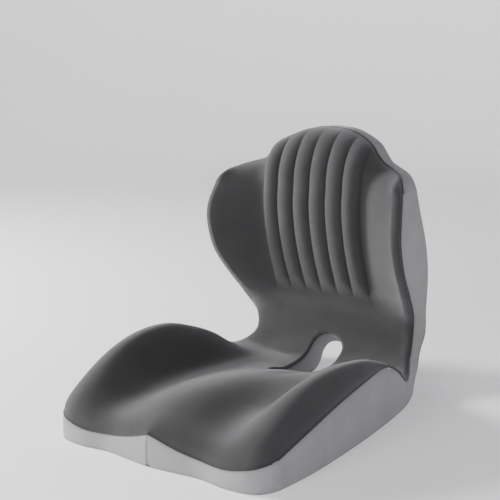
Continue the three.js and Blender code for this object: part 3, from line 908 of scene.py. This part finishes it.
# the rolled rim is darkened all over by an even share of painted shade
cutout_rim = cloth_piece(
    "cutout_rim", flat_roll, roll_faces, face_cloth, strip_pattern(roll), np.full(len(flat_roll), 0.25),
    thickness=0.8,
)
across_flex(cutout_rim)

lining_steps = np.linspace(0, 1, 22)
start = roll_end + to_foot * 2.2 - rim_in * 0.5
lining_half = np.stack([mix(start, inner_sole - rim_in * [1, 1, 0] * 0.3, s) for s in lining_steps])
belly = (rim_in * [1, 1, 0])[None] * (0.9 * np.sin(lining_steps * math.pi))[:, None, None]
lining = np.stack([whole_loop(r) for r in lining_half + belly])
flat_lining, lining_faces = lining.reshape(-1, 3), closed_strip(lining)
if outward_share(flat_lining, lining_faces, HOLE_MIDDLE) > 0.5:
    lining_faces = lining_faces[:, ::-1]
lining_tall = lengths(lining, 0)[-1] * MM
# painted shade: the lining darkens towards its top edge, under the rim
cutout_lining = cloth_piece(
    "cutout_lining_cloth", flat_lining, lining_faces, band_cloth, strip_pattern(lining),
    np.exp(-lengths(lining, 0).ravel() / 5),
)
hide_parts("cutout_lining")
across_flex(cutout_lining)

# ---------- the side bands ----------
ACROSS = (1 - np.cos(np.linspace(0, math.pi, 22))) / 2
middle_gap = np.abs(seam_edge[:, 0])


def band(name, indices, nodes):
    """A strip from under the face's lip to the base or rear seam, crowned between its seams and sunk at each."""
    top, foot = seam_edge[indices] + down[indices] * 1.2, foot_edge[indices]
    tall = band_height[indices]
    out, gap = outward[indices], middle_gap[indices]
    at_centre = np.exp(-((gap / 2.2) ** 2)) * 1.3
    lines = []
    painted_shade_rows = []
    for v in ACROSS:
        at_lip = np.exp(-(((v * tall + 0.5) / 4) ** 2))
        at_foot = np.exp(-((((1 - v) * tall) / 5) ** 2))
        to_edge = at_lip + 0.2 * at_foot
        crown = np.minimum(tall * 0.03, 2.0) * 4 * v * (1 - v)
        lines.append(mix(top, foot, v) + out * (crown - 1.2 * to_edge - at_centre)[:, None])
        # painted shade: darkest along the middle seam, less under the lip, a little at the foot
        painted_shade_rows.append(np.maximum(to_edge * 0.4, at_centre / 1.3))
    strip = np.stack(lines)
    made = cloth_piece(
        name, strip.reshape(-1, 3), grid_faces(*strip.shape[:2], flip=True), band_cloth, strip_pattern(strip),
        np.concatenate(painted_shade_rows),
    )
    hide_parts(*nodes)
    across_flex(made)
    return made


top_middle = int(np.flatnonzero(loop == (len(rows) - 1) * len(columns) + centre_column)[0])
right_ids = np.arange(0, top_middle + 1)
left_ids = np.append(np.arange(top_middle, len(loop)), 0)


# ---------- the foam inside ----------
FOAM_DRAWN_IN, FOAM_FRONT, FOAM_FLEX = 2.5, 7.0, 5.0  # all over; more at the front; shift where the back flexes


def foam_piece(name, node, body):
    """The moulded foam: the CAD body's surface merged into one skin and drawn in a little along its normals, so
    that the sewn cover clears it where its seams sink in. It is slimmer by the front's corners and where the back
    flexes."""
    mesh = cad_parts[node].data.copy()
    mesh.name = name
    work = bmesh.new()
    work.from_mesh(mesh)
    bmesh.ops.remove_doubles(work, verts=work.verts, dist=1e-5)
    work.normal_update()
    work.to_mesh(mesh)
    work.free()
    place, facing = np.empty((2, 3 * len(mesh.vertices)))
    mesh.vertices.foreach_get("co", place)
    mesh.vertex_normals.foreach_get("vector", facing)
    place, facing = place.reshape(-1, 3), facing.reshape(-1, 3)
    y, z = place[:, 1] / MM, place[:, 2] / MM
    deeper = FOAM_FRONT * (1 - smooth(-195, -165, y)) * smooth(15, 35, z)
    x = np.abs(place[:, 0]) / MM
    at_flex = smooth(26, 48, z) * (1 - smooth(112, 145, z))
    place -= facing * (FOAM_DRAWN_IN + deeper)[:, None] * MM
    place[:, 0] -= np.sign(place[:, 0]) * FOAM_FLEX * smooth(110, 150, x) * at_flex * smooth(170, 200, y) * MM
    place[:, 1] -= FOAM_FLEX * smooth(214, 244, y) * at_flex * MM
    mesh.vertices.foreach_set("co", place.ravel())
    mesh.materials.clear()
    mesh.materials.append(foam_finish)
    made = bpy.data.objects.new(name, mesh)
    scene.collection.objects.link(made)
    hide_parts(node)
    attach(made, body)
    return made


foam_piece("foam_seat", "seat_foam", "seat")
foam_piece("foam_back", "back_foam", "backrest")
band("band_right", right_ids, ["seat_side_band_right", "back_side_band_right"])
band("band_left", left_ids, ["seat_side_band_left", "back_side_band_left"])

# ---------- base and rear ----------
heel_line = ROLL_ROWS + int(round(HEEL_ROW * BODY_ROWS))


def outer_panel(name, first, last_line, off, lift, finish):
    """A panel of the outer surface between two lines of the grid, with its openings and sunk edges."""
    c, r = np.meshgrid(columns, rows[first:last_line + 1])
    plain_panel = outer(c, r)
    a, b = lengths(plain_panel, 1), lengths(plain_panel, 0)
    edge_way = np.minimum(np.minimum(a, a[:, -1:] - a), np.minimum(b, b[-1:] - b))
    c, r, kept = fit_opening(outer, c, r, off)
    p = outer(c, r)
    inwards = grid_normals(p)
    p = p + inwards * (lift + 1.4 * np.exp(-((edge_way / 6) ** 2)))[..., None]
    faces_panel = grid_faces(*c.shape, flip=True)[kept.ravel()]
    uv = np.stack([a - a[:, [centre_column]], b], -1).reshape(-1, 2) * MM
    # painted shade: the colour darkens towards the panel's edges, where they sink into the seams; the base cloth's
    # finish does not read it
    sink = np.exp(-((edge_way / 4) ** 2)).ravel()
    flat_points, faces_panel, uv, sink = compact(p.reshape(-1, 3), faces_panel, uv, sink)
    corners = flat_points[faces_panel]
    area = float(np.linalg.norm(
        np.cross(corners[:, 2] - corners[:, 0], corners[:, 3] - corners[:, 1]), axis=1).sum()) / 2 * MM * MM
    size = (float((a[:, -1]).max()) * MM, float(b[-1].max()) * MM)
    made = cloth_piece(name, flat_points, faces_panel, finish, uv, sink)
    return made, {"flat": size, "held": "stretched", "area": min(area, size[0] * size[1])}


base_cover, base_flat = outer_panel(
    "base_cover", 0, heel_line, lambda p: off_cutout(p, 0), 0.7, base_cloth
)
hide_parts("base_panel")
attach(base_cover, "seat")
rear_cover, rear_flat = outer_panel(
    "rear_cover", heel_line, len(rows) - 1,
    lambda p: np.minimum(off_cutout(p, 0), off_zip(p)), 0.0, band_cloth,
)
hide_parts("heel_panel", "rear_panel")
across_flex(rear_cover)


def repeated(points, faces, places):
    """One small shape set down at many places."""
    many = (points[None] + places[:, None]).reshape(-1, 3)
    return many, (faces[None] + np.arange(len(places))[:, None, None] * len(points)).reshape(-1, faces.shape[1])


def dome(radius, height, sides=10):
    """A low dome pointing down: rings whose radius falls as the cosine and depth grows as the sine."""
    turn = np.linspace(0, 2 * math.pi, sides, endpoint=False)
    rings_made = []
    for a in (0, 0.5, 1.0, 1.35):
        rings_made.append(np.stack([
            radius * math.cos(a) * np.cos(turn), radius * math.cos(a) * np.sin(turn),
            np.full(sides, -height * math.sin(a) / math.sin(1.35)),
        ], -1))
    ring_points = np.stack(rings_made)
    faces_dome = closed_strip(ring_points, flip=True)
    return ring_points.reshape(-1, 3), faces_dome


DOT_PITCH, DOT_HEIGHT = 12.0, 0.75
gx, gy = np.meshgrid(np.arange(-15, 16) * DOT_PITCH, np.arange(-21, 19) * DOT_PITCH * 0.866)
gx = gx + (np.arange(gx.shape[0]) % 2)[:, None] * DOT_PITCH / 2
half_at = np.interp(gy, STATIONS[:7, 6], STATIONS[:7, 0])
inside = (np.abs(gx) < half_at - 10) & (gy > -222) & (gy < 204)
inside &= off_cutout(np.stack([gx, gy, gx * 0], -1), 0) > 7
dot_points, dot_faces = dome(2.0, DOT_HEIGHT)
places = np.stack([gx[inside], gy[inside], np.full(inside.sum(), DOT_HEIGHT)], -1)
dots_points, dots_faces = repeated(dot_points, dot_faces, places)
lowest = np.arange(30, 40)
fan = np.stack([np.full(4, lowest[0]), lowest[[1, 3, 5, 7]], lowest[[2, 4, 6, 8]], lowest[[3, 5, 7, 9]]], -1)
_, fans = repeated(dot_points, fan[:, ::-1], places)
base_dots = make("base_dots", dots_points, np.vstack([dots_faces, fans]), rubber())
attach(base_dots, "seat")

# ---------- the zip ----------
TAPE_Y, TAPE_THICK, TAPE_TALL, TOOTH_PITCH, ZIP_HALF = 245.2, 1.2, 12.5, 1.5, 95.0


def box_shape(size, bevel):
    """A block with chamfered long edges: eight-sided rings, drawn in to 0.8 at both ends."""
    w, d, h = (s / 2 for s in size)
    ring = np.array([(w - bevel, -d), (w, -d + bevel), (w, d - bevel), (w - bevel, d),
                     (-w + bevel, d), (-w, d - bevel), (-w, -d + bevel), (-w + bevel, -d)])
    levels = [(-h, 0.8), (-h + bevel, 1.0), (h - bevel, 1.0), (h, 0.8)]
    block = np.stack([np.column_stack([ring * s, np.full(8, z)]) for z, s in levels])
    quads = closed_strip(block, flip=True)
    caps = []
    for base, turn in ((0, -1), (24, 1)):
        ids = base + np.array([[0, 1, 2, 3], [0, 3, 4, 7], [4, 5, 6, 7]])
        caps.append(ids[:, ::turn])
    return block.reshape(-1, 3), np.vstack([quads, *caps])


def zip_half(name_tape, name_teeth, side):
    """One side of the zip: a tape with a corded edge, and a row of teeth set half a pitch from the other's."""
    reach = ZIP_HALF + 6
    x = np.linspace(-reach, reach, 160)
    rise = np.linspace(0, 1, 12)
    grid_x, grid_v = np.meshgrid(x, rise)
    height = 1.4 + grid_v * (TAPE_TALL - 1.4)
    cord = 0.5 * np.exp(-((height - 2.2) / 0.8) ** 2)
    wave = 0.12 * np.sin(grid_x / 9) * grid_v
    tuck = 1.6 * smooth(ZIP_OPEN - 1, ZIP_OPEN + 2, height)
    tape = np.stack([grid_x, TAPE_Y + TAPE_THICK * 0.55 + cord + wave + tuck, ZIP_Z + side * height], -1)
    uv = np.stack([grid_x, height], -1).reshape(-1, 2) * MM
    tape_points, tape_faces = thicken(tape.reshape(-1, 3), grid_faces(*grid_x.shape, flip=side > 0), 0.6)
    cloth = make(name_tape, tape_points, tape_faces, tape_finish, doubled(uv)[0])
    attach(cloth, "backrest")
    block, block_faces = box_shape((TOOTH_PITCH * 0.62, 1.7, 2.6), 0.25)
    spots = np.arange(-ZIP_HALF + 1, ZIP_HALF - 1, TOOTH_PITCH) + (TOOTH_PITCH / 2 if side > 0 else 0)
    where = np.stack([spots, np.full(len(spots), TAPE_Y + 0.95), np.full(len(spots), ZIP_Z + side * 1.15)], -1)
    teeth_points, teeth_faces = repeated(block, block_faces, where)
    teeth = make(name_teeth, teeth_points, teeth_faces, teeth_finish)
    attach(teeth, "backrest")
    return cloth, teeth


for word, side in (("upper", 1), ("lower", -1)):
    cloth, teeth = zip_half("tape_" + word, "teeth_" + word, side)
    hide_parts("zip_tape_" + word)
    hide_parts("zip_teeth_" + word)


def opening_path(extra, corner_steps=6, straight=60):
    """Round the zip's opening, widened by extra: straight runs joined by quarter circles."""
    path = []
    radius = ZIP_CORNER + extra
    for k, (sx, sz) in enumerate(((1, -1), (1, 1), (-1, 1), (-1, -1))):
        turn = np.linspace(0, math.pi / 2, corner_steps) + (k - 1) * math.pi / 2
        cx, cz = sx * (ZIP_REACH - ZIP_CORNER), sz * (ZIP_OPEN - ZIP_CORNER)
        path.append(np.stack([cx + radius * np.cos(turn), cz + radius * np.sin(turn)], -1))
    runs = []
    for k in range(4):
        a, b = path[k][-1], path[(k + 1) % 4][0]
        steps = straight if k % 2 else 6
        between = a + (b - a) * np.linspace(0, 1, steps + 2)[1:-1, None]
        runs += [path[k], between]
    return np.vstack(runs)


welt_lines = []
for out, sink in ((1.6, 0.35), (1.2, -0.25), (0.6, -0.5), (0.0, -0.2), (-0.35, 0.6), (-0.4, 1.8), (-0.4, 3.4)):
    path = opening_path(out)
    z = ZIP_Z + path[:, 1]
    welt_lines.append(np.stack([path[:, 0], rear_y(path[:, 0], z) - sink, z], -1))
welt = np.stack(welt_lines)
welt_faces = closed_strip(welt)
welt_flat = welt.reshape(-1, 3)
if outward_share(welt_flat, welt_faces[: len(welt_faces) // 3], np.array([0, 0, ZIP_Z])) < 0.5:
    welt_faces = welt_faces[:, ::-1]
# the welt is darkened all over by an even share of painted shade
zip_welt = cloth_piece(
    "zip_welt", welt_flat, welt_faces, band_cloth, strip_pattern(welt), np.full(len(welt_flat), 0.3),
    thickness=0.5,
)
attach(zip_welt, "backrest")


def stitch_shape(long, radius, sides=6):
    """One stitch lying along x: rings whose radius follows a half ellipse and whose middle rises as a low arc."""
    t = np.linspace(-1, 1, 7)
    turn = np.linspace(0, 2 * math.pi, sides, endpoint=False)
    thick = radius * np.sqrt(np.clip(1 - (t * 0.96) ** 2, 0, 1))
    lift = 0.35 * (1 - t**2)
    ring = np.stack([
        np.repeat(t[:, None] * long / 2, sides, 1),
        lift[:, None] + thick[:, None] * np.cos(turn),
        thick[:, None] * np.sin(turn),
    ], -1)
    return ring.reshape(-1, 3), closed_strip(ring)


stitch_points, stitch_faces = stitch_shape(2.7, 0.33)
spots = np.arange(-96, 97, 3.6)
stitch_places = np.vstack([
    np.stack([spots, rear_y(spots, z) + 0.05, np.full(len(spots), z)], -1) for z in (ZIP_Z - 12.6, ZIP_Z + 12.6)
])
zip_stitches_points, zip_stitches_faces = repeated(stitch_points, stitch_faces, stitch_places)
stitch_uv = np.tile(np.stack([stitch_points[:, 0] / 2.7, stitch_points[:, 2]], -1), (len(stitch_places), 1))
zip_stitches = make("zip_stitches", zip_stitches_points, zip_stitches_faces, grey_thread, stitch_uv)
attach(zip_stitches, "backrest")


def plate_shape(outline, low, high, bevel):
    """A flat metal part with its outline in the x-z plane: rings set in by the bevel at both faces, which close
    in to a point-like ring at the middle."""
    centre = outline.mean(0)
    inset = centre + (outline - centre) * (1 - bevel / np.linalg.norm(outline - centre, axis=1, keepdims=True))
    small = centre + (inset - centre) * 0.02
    lower = [(small, low), (inset, low), (outline, low + bevel)]
    lines = [*lower, (outline, high - bevel), (inset, high), (small, high)]
    return np.stack([np.column_stack([o[:, 0], np.full(len(o), y), o[:, 1]]) for o, y in lines])


def metal_part(name, strips, body, nodes):
    """One or more closed plates as one piece of plated metal."""
    parts, quads, total = [], [], 0
    for strip in strips:
        p = strip.reshape(-1, 3)
        f = closed_strip(strip)
        if outward_share(p, f, p.mean(0)) < 0.5:
            f = f[:, ::-1]
        parts.append(p)
        quads.append(f + total)
        total += len(p)
    made = make(name, np.vstack(parts), np.vstack(quads), metal_finish)
    crisp = made.modifiers.new("crisp", "BEVEL")
    crisp.width, crisp.segments, crisp.limit_method = 0.0001, 2, "ANGLE"
    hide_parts(*nodes)
    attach(made, body)
    return made


def rounded(points_2d, steps=5, share=0.25):
    """An outline with each corner replaced by a small curve between points on its two sides."""
    p = np.array(points_2d, float)
    before, after = mix(p, np.roll(p, 1, 0), share), mix(p, np.roll(p, -1, 0), share)
    t = np.linspace(0, 1, steps)[None, :, None]
    curve = before[:, None] * (1 - t) ** 2 + p[:, None] * 2 * t * (1 - t) + after[:, None] * t**2
    return curve.reshape(-1, 2)


SLIDER_X, SLIDER_TOP = 85.0, 248.25
SLIDER_PLACE = [SLIDER_X, ZIP_Z]
shield = SLIDER_PLACE + rounded([
    (-5.5, -2.6), (-1, -4.2), (3.5, -3.8), (5.5, -1.6), (5.5, 1.6), (3.5, 3.8), (-1, 4.2), (-5.5, 2.6),
])
bridge = SLIDER_PLACE + rounded([(-3, -0.6), (3, -0.6), (3, 0.6), (-3, 0.6)])
metal_part(
    "slider", [plate_shape(shield, SLIDER_TOP - 1.3, SLIDER_TOP, 0.3),
               plate_shape(bridge, SLIDER_TOP - 0.2, SLIDER_TOP + 1.4, 0.2)],
    "zip_slider", ["zip_slider"],
)
tab = SLIDER_PLACE + rounded([(-4.6, -2.5), (-4.6, 2.5), (-13, 2.5), (-14.6, 1.2), (-14.6, -1.2), (-13, -2.5)])
arms = [
    SLIDER_PLACE + rounded([(1.4, s * 1.0), (1.4, s * 2.4), (-5.2, s * 2.4), (-5.2, s * 1.0)]) for s in (1, -1)
]
metal_part(
    "pull", [plate_shape(o, SLIDER_TOP + 0.42, SLIDER_TOP + 1.18, 0.2) for o in (tab, *arms)],
    "zip_pull", ["zip_pull"],
)
for word, side in (("left", -1), ("right", 1)):
    near, far = side * 95.4, side * 98
    stop = rounded([(near, -1.5), (far, -1.5), (far, 1.5), (near, 1.5)]) + [0, ZIP_Z]
    plate = plate_shape(stop, TAPE_Y - 0.2, TAPE_Y + 2.3, 0.35)
    metal_part("stop_" + word, [plate], "backrest", ["zip_stop_" + word])

# ---------- floor ----------
# A wide bowl: a flat disc, a quarter turn up at its edge and a straight wall, all carried round the middle.
FLOOR_REACH, FLOOR_BEND = 3000, 900
turn = np.linspace(0, 2 * math.pi, 97)
bend = np.linspace(0, math.pi / 2, 12)[1:]
wall = FLOOR_REACH + FLOOR_BEND
reach = np.concatenate([np.linspace(0, FLOOR_REACH, 12), FLOOR_REACH + FLOOR_BEND * np.sin(bend), [wall, wall]])
climb = np.concatenate([np.zeros(12), FLOOR_BEND * (1 - np.cos(bend)), [2000, 3200]])
reach, climb = reach[:, None], np.repeat(climb[:, None], len(turn), 1)
bowl = np.stack([reach * np.cos(turn), reach * np.sin(turn), climb], -1)
floor = make("floor", bowl.reshape(-1, 3), grid_faces(*bowl.shape[:2], flip=True), studio_floor())
